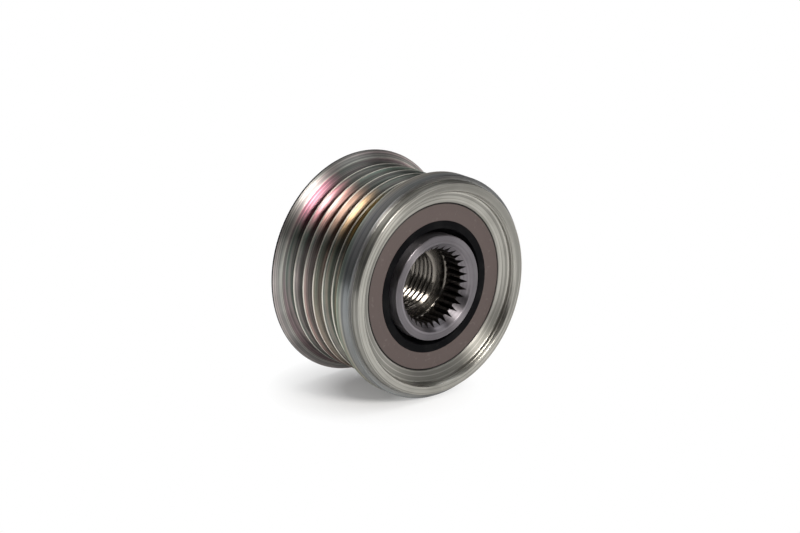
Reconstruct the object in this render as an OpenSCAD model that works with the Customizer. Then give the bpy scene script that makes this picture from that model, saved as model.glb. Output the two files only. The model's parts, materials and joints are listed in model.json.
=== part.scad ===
// Alternator freewheel clutch: a ribbed belt pulley on a roller clutch and two needle bearings.
// It lies as on a bench, with its axis along Y. The tool socket faces -Y, the alternator side +Y.
// The origin is on the axis, halfway along the whole part. All sizes are in millimetres.

/* [Belt grooves] */
// Distance from one rib to the next
rib_pitch = 3.56; // [3.3:0.01:3.9]
// Number of belt grooves
rib_count = 6; // [5:1:8]
// Wall left between the groove bottoms and the clutch
rim_web = 3.45; // [3:0.05:5]
// Full angle of a groove
groove_angle = 40; // [36:1:44]
// Width of the flat on a rib crest
crest_land = 0.5; // [0.3:0.05:0.7]
// Radius at the bottom of a groove
groove_root_r = 0.5; // [0.3:0.05:0.6]

/* [Pulley rim] */
// Height of the rear flange and the front collar above the rib crests
flange_h = 2.25; // [1.8:0.05:3.5]
// Height of the rear groove flank above the rib crests
rear_flank_h = 0.74; // [0.4:0.02:1]
// Width of the rear flange's edge behind its chamfer
rear_land_w = 0.77; // [0.5:0.01:2]
// Width of the smooth front collar
collar_w = 4.94; // [3:0.02:8]
// Width of the stepped front lip
lip_w = 2; // [1.6:0.1:4]
// Step from the front collar down to the lip
lip_step = 1.1; // [0.6:0.05:1.4]
// Taper of the lip towards the front face
lip_taper = 0.25; // [0:0.05:0.6]
// Size of the broken outer edges
edge_break = 0.3; // [0.1:0.05:0.4]

/* [Front recess] */
// Width of the shoulder between the seal bore and the cap seat
shoulder_w = 2.85; // [2:0.05:3.2]
// Slope depth of that shoulder
shoulder_drop = 0.8; // [0.4:0.05:1.4]
// Depth of the cap seat at its wall
cap_seat_depth = 1.85; // [1.6:0.05:2.6]
// Depth of the snap groove in the seat wall
snap_depth = 0.35; // [0.1:0.05:0.5]
// Width of the snap groove
snap_w = 0.4; // [0.2:0.05:0.5]
// Mouth chamfer of the cap seat
mouth_chamfer = 0.6; // [0.3:0.05:0.7]

/* [Seals] */
// Step from the clutch bore up to the seal bores
seal_step = 2.14; // [1.8:0.02:2.6]
// Depth of the rear seal behind the rear face
rear_seal_depth = 1.5; // [0.8:0.1:2.5]
// Overall width of a seal
seal_w = 2.6; // [2.2:0.1:3.2]
// Sheet thickness of the seal carriers
carrier_wall = 0.8; // [0.5:0.05:1]
// Gap between the hub and the mouth of the rubber ring
rubber_gap = 1.3; // [1:0.05:1.6]
// Width of the visible rubber ring
rubber_w = 1.95; // [1.6:0.05:2.6]
// Depth to which the rubber grips the carrier's edge
rubber_grip = 0.6; // [0.4:0.05:0.9]
// Thickness of the rubber sealing lip
lip_skin = 0.7; // [0.5:0.05:0.9]

/* [Clutch and bearings] */
// Wall of the inner ring under the bearing needles
sleeve_wall = 1.43; // [1.2:0.01:2]
// Wall of the outer ring
ring_wall = 1.5; // [1.2:0.1:2]
// Thickness of the outer ring's end lips
ring_lip_w = 0.8; // [0.5:0.1:1.2]
// Height of the outer ring's end lips
ring_lip_h = 1.7; // [1.2:0.1:1.9]
// Diameter of the clutch rollers
roller_d = 2.5; // [2.3:0.05:2.7]
// Number of clutch rollers and ramps
roller_count = 12; // [10:1:12]
// Wedge angle at which a roller locks
wedge_angle = 7; // [6:0.25:8]
// Slide of a roller from rest to fully free
roller_travel = 0.6; // [0.3:0.05:0.7]
// Diameter of the bearing needles
needle_d = 2.5; // [2.3:0.05:2.6]
// Number of needles in a bearing
needle_count = 18; // [12:1:20]
// Width of a needle bearing
bearing_w = 4.6; // [4:0.1:5.5]
// Thickness of the end rings of the needle cages
cage_rim = 0.6; // [0.4:0.05:0.8]
// Radial wall of the needle cages
cage_wall = 1.4; // [1:0.1:1.7]
// Thickness of the thrust washers
washer_w = 0.7; // [0.5:0.05:1]
// Strip thickness of the roller springs
spring_t = 0.16; // [0.1:0.01:0.2]

/* [Hub] */
// Outer diameter of the hub
hub_d = 26; // [24.5:0.1:30]
// Setback of the hub's front face behind the pulley's
hub_setback = 1.3; // [0.8:0.1:3]
// Distance that the hub stands out behind the pulley
hub_proud = 0.5; // [0:0.1:1.5]
// Number of teeth in the tool socket
spline_teeth = 33; // [28:1:36]
// Diameter over the notches of the tool socket
spline_root_d = 20.6; // [20:0.1:21]
// Diameter inside the teeth of the tool socket
spline_tip_d = 18.2; // [17.6:0.1:18.8]
// Width of a tooth's flat tip
tooth_land = 0.62; // [0.3:0.02:0.9]
// Depth of the tool socket
socket_depth = 7.3; // [5:0.1:8]
// Width of the relief groove behind the socket
relief_w = 1.7; // [1:0.1:2]
// Undercut of the relief groove below the notches
relief_undercut = 0.2; // [0.1:0.05:0.5]
// Slope of the seat between the relief groove and the thread
seat_angle = 12; // [5:1:30]
// Major diameter of the shaft thread
thread_d = 16; // [14:0.5:17]
// Length of the shaft thread
thread_len = 10; // [7:0.5:11]
// Diameter of the pilot bore for the shaft
pilot_d = 17; // [17:0.1:18]

/* [Clearances] */
// Radial clearance of everything that runs or rolls
run_gap = 0.03; // [0.01:0.01:0.06]
// Clearance between pieces that are seated together
seat_gap = 0.01; // [0.01:0.01:0.03]
// Side clearance between neighbours in the clutch
side_gap = 0.1; // [0.05:0.01:0.2]

/* [Hidden] */
$fn = 96;

function roller_name(i) = str("clutch_roller_", i < 10 ? "0" : "", i);

// Radii, built outwards from the hub
hub_r = hub_d / 2;
spline_tip_r = spline_tip_d / 2;
spline_root_r = spline_root_d / 2;
relief_r = spline_root_r + relief_undercut;
inner_race_r = hub_r + seat_gap + sleeve_wall;
race_r = inner_race_r + needle_d + 2 * run_gap;
needle_orbit_r = (race_r + inner_race_r) / 2;
roller_r = roller_d / 2;
ring_r = race_r + ring_wall;
ring_bore_r = ring_r + seat_gap;
seal_bore_r = ring_bore_r + seal_step;
rubber_mouth_r = hub_r + rubber_gap;
rubber_r = rubber_mouth_r + rubber_w;
carrier_edge_r = rubber_r - rubber_grip;
cap_seat_r = seal_bore_r + shoulder_w;

// Groove section: the mouth is where the flanks meet the rib crests
mouth_half = (rib_pitch - crest_land) / 2;
flank_slope = tan(groove_angle / 2);
root_depth = (mouth_half - groove_root_r * cos(groove_angle / 2)) / flank_slope
    - groove_root_r * sin(groove_angle / 2);
crest_r = ring_bore_r + rim_web + groove_root_r + root_depth;
flange_r = crest_r + flange_h;
lip_base_r = flange_r - lip_step;
lip_tip_r = lip_base_r - lip_taper;

// Stations along the axis, from the front face to the back of the hub
rear_chamfer_w = flange_h - rear_flank_h;
rear_flange_w = rear_flank_h * flank_slope - crest_land / 2 + rear_chamfer_w + rear_land_w;
pulley_w = lip_w + collar_w + rib_count * rib_pitch + rear_flange_w;
total_len = pulley_w + hub_proud;
front_z = -total_len / 2;
rear_z = front_z + pulley_w;
rear_chamfer_z = rear_z - rear_land_w - rear_chamfer_w;
step_z = front_z + lip_w;
grooves_z = step_z + collar_w;
front_seal_z = front_z + cap_seat_depth + shoulder_drop;
rear_seal_z = rear_z - rear_seal_depth;
ring_front_z = front_seal_z + seal_w + side_gap;
ring_rear_z = rear_seal_z - seal_w - side_gap;
front_washer_z = ring_front_z + ring_lip_w + side_gap;
rear_washer_z = ring_rear_z - ring_lip_w - side_gap - washer_w;
front_bearing_z = front_washer_z + washer_w + side_gap;
rear_bearing_z = rear_washer_z - side_gap - bearing_w;
clutch_z = front_bearing_z + bearing_w + side_gap;
clutch_w = rear_bearing_z - side_gap - clutch_z;
hub_front_z = front_z + hub_setback;
hub_rear_z = total_len / 2;
relief_z = hub_front_z + socket_depth;
seat_z = relief_z + relief_w;
seat_rim_r = relief_r - 2 * relief_undercut;
thread_z = seat_z + (seat_rim_r - thread_d / 2) * tan(seat_angle);
thread_end_z = thread_z + thread_len;

// Roller and ramp: a roller rests where it just clears both the ring and its flat
ramp_h = (race_r - roller_r) * cos(wedge_angle) - roller_r;
roller_h = ramp_h + roller_r + run_gap / 2;
roller_x = sqrt(pow(race_r - roller_r - run_gap / 2, 2) - pow(roller_h, 2));
ramp_tip_r = ramp_h + 0.42;
roller_end = 0.7;
spring_room = roller_travel + 2.5;
pocket_front_x = (race_r - roller_r) * sin(wedge_angle) + roller_r + 2 * side_gap;
pocket_back_x = roller_x - roller_r - spring_room;
clutch_cage_ri = ramp_tip_r + side_gap;
clutch_cage_ro = race_r - 1.5 * side_gap;

// Local Z becomes the pulley's own axis, Y
module on_axis() {
    rotate([-90, 0, 0]) children();
}

// A ring turned from a section given as [radius, station] points
module turned(section) {
    on_axis() rotate_extrude() polygon(section);
}

// Points of one groove from its front flank to its rear flank
function groove_points(centre_z) = concat(
    [[crest_r - 0.1, centre_z - mouth_half + 0.04]],
    [for (a = [-90 + groove_angle / 2 : (90 - groove_angle / 2) / 3 : 90 - groove_angle / 2])
        [crest_r - root_depth - groove_root_r * cos(a), centre_z + groove_root_r * sin(a)]],
    [[crest_r - 0.1, centre_z + mouth_half - 0.04]]
);

// Rib crest between two grooves, with its two small edges
function crest_points(centre_z) = [
    [crest_r, centre_z - crest_land / 2 + 0.1],
    [crest_r, centre_z + crest_land / 2 - 0.1]
];

function ribbed_rim() = [for (i = [0:rib_count - 1]) each concat(
    groove_points(grooves_z + (i + 0.5) * rib_pitch),
    i < rib_count - 1 ? crest_points(grooves_z + (i + 1) * rib_pitch) : []
)];

function pulley_outside() = concat(
    [
        [lip_tip_r - edge_break, front_z],
        [lip_tip_r, front_z + edge_break],
        [lip_base_r, step_z],
        [flange_r - edge_break / 2, step_z],
        [flange_r, step_z + edge_break / 2],
        [flange_r, grooves_z + crest_land / 2 - (flange_r - crest_r) * flank_slope - edge_break],
        [flange_r - edge_break, grooves_z + crest_land / 2 - (flange_r - edge_break - crest_r) * flank_slope]
    ],
    ribbed_rim(),
    [
        [crest_r + rear_flank_h, rear_chamfer_z],
        [flange_r, rear_z - rear_land_w],
        [flange_r, rear_z - edge_break],
        [flange_r - edge_break, rear_z]
    ]
);

function pulley_inside() = [
    [seal_bore_r + edge_break, rear_z],
    [seal_bore_r, rear_z - edge_break],
    [seal_bore_r, ring_rear_z + side_gap],
    [ring_bore_r, ring_rear_z + side_gap],
    [ring_bore_r, ring_front_z - side_gap],
    [seal_bore_r, ring_front_z - side_gap],
    [seal_bore_r, front_seal_z],
    [cap_seat_r - 0.7, front_z + cap_seat_depth + 0.15],
    [cap_seat_r - 0.3, front_z + cap_seat_depth],
    [cap_seat_r, front_z + cap_seat_depth - 0.3],
    [cap_seat_r, front_z + mouth_chamfer + snap_w],
    [cap_seat_r + snap_depth, front_z + mouth_chamfer + 0.75 * snap_w],
    [cap_seat_r + snap_depth, front_z + mouth_chamfer],
    [cap_seat_r + snap_depth / 2, front_z + mouth_chamfer],
    [cap_seat_r + mouth_chamfer, front_z]
];

module pulley() {
    color("lightsteelblue") turned(concat(pulley_outside(), pulley_inside()));
}

// Drawn cup with turned-in lips that keep the bearings in
module clutch_outer_ring() {
    bend = ring_lip_w / 2;
    color("silver") turned([
        [race_r - ring_lip_h, ring_front_z],
        [ring_r - bend, ring_front_z],
        [ring_r, ring_front_z + bend],
        [ring_r, ring_rear_z - bend],
        [ring_r - bend, ring_rear_z],
        [race_r - ring_lip_h, ring_rear_z],
        [race_r - ring_lip_h, ring_rear_z - ring_lip_w],
        [race_r, ring_rear_z - ring_lip_w],
        [race_r, ring_front_z + ring_lip_w],
        [race_r - ring_lip_h, ring_front_z + ring_lip_w]
    ]);
}

// Seals are drawn with their face at station 0 and their depth along +station.
// A turn of "way" = -1 makes the rear one.
function placed(section, face_z, way) = [for (p = section) [p[0], face_z + way * p[1]]];

module seal_carrier(face_z, way) {
    rim_r = seal_bore_r - seat_gap;
    color("dimgray") turned(placed([
        [carrier_edge_r, 0],
        [rim_r - 0.45, 0],
        [rim_r - 0.12, 0.14],
        [rim_r, 0.45],
        [rim_r, seal_w],
        [rim_r - carrier_wall, seal_w],
        [rim_r - carrier_wall, carrier_wall],
        [carrier_edge_r, carrier_wall]
    ], face_z, way));
}

module seal_lip(face_z, way) {
    grip = carrier_edge_r - seat_gap;
    mouth_r = rubber_mouth_r;
    contact_r = hub_r + run_gap;
    color([0.09, 0.09, 0.1]) turned(placed([
        [mouth_r, -0.02],
        [mouth_r + 0.25, -0.12],
        [rubber_r - 0.12, -0.12],
        [rubber_r, -seat_gap],
        [grip, -seat_gap],
        [grip, carrier_wall + seat_gap],
        [rubber_r, carrier_wall + seat_gap],
        [rubber_r - 0.2, carrier_wall + 0.35],
        [mouth_r + lip_skin + 0.2, carrier_wall + 0.35],
        [contact_r + lip_skin, seal_w - 0.5],
        [contact_r + 0.2, seal_w - 0.35],
        [contact_r, seal_w - 0.55],
        [contact_r + 0.25, seal_w - 0.85],
        [mouth_r - 0.12, carrier_wall - 0.1]
    ], face_z, way));
}

// Polygon of the tool socket: pointed notches between flat-topped teeth
function spline_points() = [for (i = [0:spline_teeth - 1]) each [
    spline_corner(spline_root_r, i, 0),
    spline_corner(spline_tip_r, i, 180 / spline_teeth - tooth_half_angle()),
    spline_corner(spline_tip_r, i, 180 / spline_teeth + tooth_half_angle())
]];
function tooth_half_angle() = asin(tooth_land / 2 / spline_tip_r);
function spline_corner(r, i, shift) =
    let (a = -6.4 + i * 360 / spline_teeth + shift) [r * cos(a), r * sin(a)];

module hub() {
    chamfer = 0.65;
    mouth_r = spline_root_r + chamfer;
    bore_r = spline_tip_r - 0.2;
    color("thistle") on_axis() difference() {
        rotate_extrude() polygon([
            [bore_r, hub_front_z + (mouth_r - bore_r) * 1.2],
            [mouth_r, hub_front_z],
            [hub_r - edge_break, hub_front_z],
            [hub_r, hub_front_z + edge_break],
            [hub_r, hub_rear_z - edge_break],
            [hub_r - edge_break, hub_rear_z],
            [pilot_d / 2 + chamfer, hub_rear_z],
            [pilot_d / 2, hub_rear_z - chamfer],
            [pilot_d / 2, thread_end_z + 1],
            [thread_d / 2, thread_end_z + 0.5],
            [thread_d / 2, thread_z],
            [seat_rim_r, seat_z],
            [relief_r, seat_z - 2 * relief_undercut],
            [relief_r, relief_z],
            [bore_r, relief_z]
        ]);
        translate([0, 0, hub_front_z - 1])
            linear_extrude(height = socket_depth + 1 + relief_w / 4) polygon(spline_points());
    }
}

// Inner ring: a round race at each end and a twelve-sided wedge track between them
module ramp_sleeve() {
    sleeve_z = front_washer_z + washer_w;
    core_r = ramp_h - run_gap;
    color("gainsboro") on_axis() difference() {
        union() {
            rotate_extrude() polygon([
                [hub_r / 2, sleeve_z],
                [inner_race_r, sleeve_z],
                [inner_race_r, clutch_z],
                [core_r, clutch_z],
                [core_r, clutch_z + clutch_w],
                [inner_race_r, clutch_z + clutch_w],
                [inner_race_r, rear_washer_z],
                [hub_r / 2, rear_washer_z]
            ]);
            intersection() {
                translate([0, 0, clutch_z]) linear_extrude(height = clutch_w) ramp_outline(0);
                translate([0, 0, clutch_z]) cylinder(r = ramp_tip_r, h = clutch_w);
            }
        }
        translate([0, 0, sleeve_z - side_gap])
            cylinder(r = hub_r + seat_gap, h = rear_washer_z - sleeve_z + 2 * side_gap);
    }
}

// Outline of the wedge track: one flat for each roller, with its middle straight above the axis
module ramp_outline(gap) {
    rotate([0, 0, 90 + 180 / roller_count])
        circle(r = (ramp_h + gap) / cos(180 / roller_count), $fn = roller_count);
}

// Puts its children on one roller's flat, turned so that a clockwise pulley wedges the rollers
module at_flat(i) {
    rotate([0, 0, -i * 360 / roller_count]) mirror([1, 0, 0]) children();
}

// Moulded cage that is keyed to the wedge track by its end rings
module clutch_cage() {
    color("darkolivegreen") on_axis() difference() {
        translate([0, 0, clutch_z]) cylinder(r = clutch_cage_ro, h = clutch_w);
        translate([0, 0, clutch_z - 1]) linear_extrude(height = clutch_w + 2) ramp_outline(seat_gap);
        translate([0, 0, clutch_z + roller_end]) cylinder(r = clutch_cage_ri, h = clutch_w - 2 * roller_end);
        for (i = [1:roller_count]) at_flat(i)
            translate([pocket_back_x, 0, clutch_z + roller_end])
                cube([pocket_front_x - pocket_back_x, race_r + 1, clutch_w - 2 * roller_end]);
    }
}

// One folded strip behind each roller
module clutch_springs() {
    folds = 5;
    start_x = pocket_back_x + side_gap / 2;
    fold_w = (roller_x - roller_r - side_gap / 2 - spring_t - start_x) / folds;
    low = clutch_cage_ri + 0.15;
    high = clutch_cage_ro - 0.35;
    color("lightgray") on_axis() for (i = [1:roller_count]) at_flat(i)
        translate([0, 0, clutch_z + 1.5 * roller_end]) linear_extrude(height = clutch_w - 3 * roller_end)
            for (k = [0:folds - 1]) {
                x = start_x + k * fold_w;
                y = k % 2 == 0 ? low : high;
                far_y = k % 2 == 0 ? high : low;
                polygon([[x, y], [x + spring_t, y], [x + fold_w + spring_t, far_y], [x + fold_w, far_y]]);
            }
}

module clutch_roller(i) {
    color("whitesmoke") on_axis() at_flat(i)
        translate([roller_x, roller_h, clutch_z + roller_end + side_gap])
            cylinder(r = roller_r, h = clutch_w - 2 * roller_end - 2 * side_gap);
}

module thrust_washer(z) {
    color("tan") on_axis() translate([0, 0, z]) difference() {
        cylinder(r = race_r - 4 * side_gap, h = washer_w);
        translate([0, 0, -1]) cylinder(r = hub_r + seat_gap, h = washer_w + 2);
    }
}

module bearing_cage(z) {
    color("goldenrod") on_axis() translate([0, 0, z]) difference() {
        cylinder(r = needle_orbit_r + cage_wall / 2, h = bearing_w);
        translate([0, 0, -1]) cylinder(r = needle_orbit_r - cage_wall / 2, h = bearing_w + 2);
        for (i = [0:needle_count - 1]) rotate([0, 0, i * 360 / needle_count])
            translate([inner_race_r - 1, -needle_d / 2 - run_gap, cage_rim])
                cube([needle_d + 2, needle_d + 2 * run_gap, bearing_w - 2 * cage_rim]);
    }
}

module needles(z) {
    color("white") on_axis() for (i = [0:needle_count - 1]) rotate([0, 0, i * 360 / needle_count])
        translate([needle_orbit_r, 0, z + cage_rim + run_gap])
            cylinder(r = needle_d / 2, h = bearing_w - 2 * cage_rim - 2 * run_gap, $fn = 32);
}

pulley();
clutch_outer_ring();
seal_carrier(front_seal_z, 1);  // front_seal_carrier
seal_lip(front_seal_z, 1);  // front_seal_lip
seal_carrier(rear_seal_z, -1);  // rear_seal_carrier
seal_lip(rear_seal_z, -1);  // rear_seal_lip
hub();
ramp_sleeve();
clutch_cage();
clutch_springs();
thrust_washer(front_washer_z);  // front_thrust_washer
thrust_washer(rear_washer_z);  // rear_thrust_washer
bearing_cage(front_bearing_z);  // front_bearing_cage
needles(front_bearing_z);  // front_needles
bearing_cage(rear_bearing_z);  // rear_bearing_cage
needles(rear_bearing_z);  // rear_needles
for (i = [1:roller_count])
    clutch_roller(i);
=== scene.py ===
import bpy
import json
import math
from types import SimpleNamespace
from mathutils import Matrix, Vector


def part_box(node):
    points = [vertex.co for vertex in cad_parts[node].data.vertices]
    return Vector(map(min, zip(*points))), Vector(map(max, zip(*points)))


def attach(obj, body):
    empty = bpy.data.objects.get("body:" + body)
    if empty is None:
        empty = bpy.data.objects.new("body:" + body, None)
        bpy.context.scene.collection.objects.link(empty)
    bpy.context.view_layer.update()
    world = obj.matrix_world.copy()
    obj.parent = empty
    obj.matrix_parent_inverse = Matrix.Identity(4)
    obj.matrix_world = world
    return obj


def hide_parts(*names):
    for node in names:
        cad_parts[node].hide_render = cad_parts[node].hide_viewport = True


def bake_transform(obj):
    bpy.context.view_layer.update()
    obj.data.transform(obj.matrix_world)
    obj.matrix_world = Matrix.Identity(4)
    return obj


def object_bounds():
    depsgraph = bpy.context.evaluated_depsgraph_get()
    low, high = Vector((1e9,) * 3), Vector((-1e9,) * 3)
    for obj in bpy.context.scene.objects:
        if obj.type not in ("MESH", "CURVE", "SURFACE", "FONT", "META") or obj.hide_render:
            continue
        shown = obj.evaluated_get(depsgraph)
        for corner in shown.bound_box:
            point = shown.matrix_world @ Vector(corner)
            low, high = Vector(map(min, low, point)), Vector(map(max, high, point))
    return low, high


# Alternator freewheel clutch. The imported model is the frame; the turned parts, the seals, the springs
# and the stage are made here. Everything is in metres, with the pulley's axis along Y.

bl_info = {
    "name": "Alternator Freewheel Clutch",
    "version": (1, 0, 0),
    "blender": (4, 5, 0),
    "location": "View3D > Sidebar > Clutch",
    "description": "Dresses a packed alternator freewheel clutch for a studio picture",
    "category": "Object",
}

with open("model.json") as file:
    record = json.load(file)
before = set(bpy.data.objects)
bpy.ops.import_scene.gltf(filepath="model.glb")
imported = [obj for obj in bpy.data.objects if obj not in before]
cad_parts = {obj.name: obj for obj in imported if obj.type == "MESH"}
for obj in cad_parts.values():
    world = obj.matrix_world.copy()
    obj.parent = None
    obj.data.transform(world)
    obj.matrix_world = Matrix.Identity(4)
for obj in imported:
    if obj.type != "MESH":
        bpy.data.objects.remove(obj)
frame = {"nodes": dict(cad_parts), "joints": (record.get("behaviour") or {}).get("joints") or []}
CAD_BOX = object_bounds()
NODES = frame["nodes"]
MM = 0.001
# Distance below which two drawn points count as one place
NEAR = 1e-6
# Half widths of the thread's ridge at its root and crest, as shares of the pitch
THREAD_ROOT, THREAD_CREST = 0.4375, 0.125


def node_box(name):
    low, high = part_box(name)
    return Vector(low), Vector(high)


PULLEY_LOW, PULLEY_HIGH = node_box("pulley")
HUB_LOW, HUB_HIGH = node_box("hub")
RING_LOW, RING_HIGH = node_box("clutch_outer_ring")
SEAL_LOW, SEAL_HIGH = node_box("front_seal_carrier")
REAR_SEAL_HIGH = node_box("rear_seal_carrier")[1]
SEAL_R = SEAL_HIGH.x
SEAL_DEPTH = SEAL_HIGH.y - SEAL_LOW.y
ROLLER_COUNT = sum(name.startswith("clutch_roller_") for name in NODES)


def number(name, text, value, **settings):
    return bpy.props.FloatProperty(name=name, description=text, default=value, **settings)


def length(name, text, value, low=0.0):
    """A length property, given in millimetres and kept in metres."""
    return number(name, text, value * MM, min=low, precision=5, subtype="DISTANCE", unit="LENGTH")


def angle(name, text, degrees):
    """An angle property, given in degrees and kept in radians."""
    return number(name, text, math.radians(degrees), subtype="ANGLE", unit="ROTATION")


def power(name, text, value):
    """A lamp's power in watts."""
    return number(name, text, value, min=0.0, unit="POWER")


def level(name, text, value):
    """A share from 0 to 1."""
    return number(name, text, value, min=0.0, max=1.0)


def count(name, text, value, low, high):
    """A whole number between two limits."""
    return bpy.props.IntProperty(name=name, description=text, default=value, min=low, max=high)


def colour(name, text, value):
    """A colour property without alpha."""
    return bpy.props.FloatVectorProperty(name=name, description=text, default=value, min=0.0,
                                         max=1.0, size=3, subtype="COLOR")


class ClutchSizes(bpy.types.PropertyGroup):
    """Sizes of the turned parts and the seals."""

    flange_r: length("Flange radius", "Radius of the rear flange and front collar", PULLEY_HIGH.x / MM)
    crest_drop: length("Rib drop", "Height of the flanges above the rib crests", 2.25)
    rib_pitch: length("Rib pitch", "Distance from one rib to the next", 3.56)
    rib_count: count("Grooves", "Number of belt grooves", 6, 1, 12)
    crest_land: length("Crest land", "Width of the flat on a rib crest", 0.5)
    groove_half_angle: angle("Groove half angle", "Angle between a groove's flank and its middle", 20)
    groove_root_r: length("Groove root radius", "Rounding at the bottom of a groove", 0.5)
    collar_w: length("Collar width", "Width of the smooth front collar", 4.94)
    lip_w: length("Lip width", "Width of the stepped front lip", 2.0)
    lip_step: length("Lip step", "Step from the collar down to the lip", 1.1)
    lip_taper: length("Lip taper", "Taper of the lip towards the front", 0.25)
    rear_flank_h: length("Rear flank height", "Height of the last groove flank above the crests", 0.74)
    rear_land_w: length("Rear land", "Width of the rear flange's edge", 0.77)
    ring_bore_r: length("Clutch bore radius", "Bore that holds the clutch's outer ring", 18.51)
    cap_seat_r: length("Cap seat radius", "Radius of the cap seat at the front", 23.5)
    cap_seat_depth: length("Cap seat depth", "Depth of the cap seat at its wall", 1.85)
    snap_depth: length("Snap groove depth", "Depth of the groove in the seat wall", 0.35)
    edge_r: length("Edge rounding", "Rounding of the outer turned edges", 0.28)
    small_edge_r: length("Small edge rounding", "Rounding of the inner turned edges", 0.08)
    spline_teeth: count("Socket teeth", "Teeth in the tool socket", 33, 6, 60)
    spline_turn: angle("Socket turn", "Turn of the socket's first notch", 6.4)
    spline_root_r: length("Notch radius", "Radius over the socket's notches", 10.3)
    spline_tip_r: length("Tooth radius", "Radius inside the socket's teeth", 9.1)
    tooth_land: length("Tooth land", "Width of a tooth's flat tip", 0.62)
    socket_depth: length("Socket depth", "Depth of the tool socket", 7.3)
    relief_w: length("Relief width", "Width of the groove behind the socket", 1.7)
    seat_angle: angle("Seat angle", "Slope of the seat before the thread", 12)
    thread_major_r: length("Thread major radius", "Outer radius of the shaft thread", 8.0)
    thread_minor_r: length("Thread minor radius", "Inner radius of the shaft thread", 7.19)
    thread_pitch: length("Thread pitch", "Pitch of the shaft thread", 1.5)
    thread_len: length("Thread length", "Length of the shaft thread", 10.0)
    pilot_r: length("Pilot radius", "Radius of the bore behind the thread", 8.5)
    rubber_mouth_r: length("Rubber mouth radius", "Inner radius of the rubber ring", 14.3)
    rubber_r: length("Rubber radius", "Outer radius of the rubber ring", 16.25)
    rubber_grip: length("Rubber grip", "Depth to which the rubber holds the carrier", 0.6)
    carrier_wall: length("Carrier sheet", "Sheet thickness of the seal carriers", 0.8)
    running_gap: length("Running clearance", "Clearance between a seal and the hub", 0.03)
    spring_near: length("Spring start", "Distance from a roller's axis to its spring", 1.30)
    spring_pitch: length("Spring pitch", "Distance from fold to fold", 0.568)
    spring_t: length("Spring strip", "Thickness of the spring strip", 0.16)
    spring_high: length("Spring height above", "Reach of the folds above the roller's axis", 0.852)
    spring_low: length("Spring height below", "Reach of the folds below the roller's axis", 0.595)
    spring_inset: length("Spring inset", "Distance from a roller's end to the strip's edge", 0.25)
    spring_folds: count("Spring folds", "Folds of each spring strip", 5, 1, 9)
    steps: count("Steps", "Faces round the pulley", 256, 48, 384)
    small_steps: count("Small steps", "Faces round the hub and the seals", 192, 48, 384)
    thread_steps: count("Thread steps", "Faces round one turn of the thread", 96, 24, 192)


class ClutchColours(bpy.types.PropertyGroup):
    """Base colours of the finishes."""

    plating: colour("Plating", "Zinc plating of the collar", (0.25, 0.257, 0.275))
    face: colour("Face", "Bright turned lip and face", (0.47, 0.46, 0.42))
    # Painted shade: a near-black colour on the rear flange's edge, where a thin dark line of shade runs
    rear_edge_shade: colour("Rear edge shade", "Painted shade on the rear flange's edge", (0.045, 0.045, 0.05))
    film: colour("Track plating", "Plating of the belt track", (0.66, 0.63, 0.60))
    film_pink: colour("Track plating, pink", "Pink patches of the belt track", (0.95, 0.42, 0.54))
    film_yellow: colour("Track plating, yellow", "Yellow patches of the belt track", (0.98, 0.76, 0.34))
    film_green: colour("Track plating, green", "Green patches of the belt track", (0.33, 0.55, 0.44))
    # Painted highlight: a pale colour for the lines along the rib crests and the chamfer edge
    crest_highlight: colour("Crest highlight", "Painted highlight on the rib crests and the chamfer edge", (0.92, 0.89, 0.80))
    # Painted reflection: a pale colour on the rear chamfer, standing in for the bright surroundings that it
    # mirrors
    chamfer: colour("Rear chamfer reflection", "Painted reflection on the rear flange's chamfer", (0.74, 0.70, 0.67))
    # Painted shade: a dark colour for the bottoms of the grooves
    groove_shade: colour("Painted groove shade", "Painted shade at the bottom of the grooves", (0.09, 0.075, 0.075))
    hub: colour("Hub", "Phosphated face of the hub", (0.26, 0.243, 0.26))
    bright: colour("Bright steel", "Freshly turned seat and thread", (0.25, 0.23, 0.205))
    # Painted shade: a near-black colour for the socket walls inside the recess
    socket: colour("Socket walls", "Painted shade on the walls of the tool socket", (0.085, 0.078, 0.075))
    carrier: colour("Seal carrier", "Coated sheet of the seal carriers", (0.076, 0.057, 0.053))
    # Painted shade: near black, for the carriers' rims where the gap round them is shaded
    gap: colour("Carrier gap shade", "Painted shade of the gap round the seal carriers", (0.004, 0.004, 0.004))
    dust: colour("Dust", "Dust specks on the seal carriers", (0.22, 0.20, 0.18))
    rubber: colour("Rubber", "Sealing rubber", (0.0012, 0.0012, 0.0018))
    bloom: colour("Rubber bloom", "Faint bloom on the rubber", (0.010, 0.010, 0.010))
    rubber_dust: colour("Rubber dust", "Dust specks on the rubber", (0.06, 0.058, 0.055))
    ring: colour("Hardened steel", "Rings, rollers and needles", (0.62, 0.62, 0.63))
    spring: colour("Spring steel", "Springs behind the rollers", (0.52, 0.51, 0.48))
    cage: colour("Cage plastic", "Moulded cages", (0.055, 0.062, 0.040))
    washer: colour("Washer plastic", "Moulded thrust washers", (0.36, 0.28, 0.16))


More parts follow.
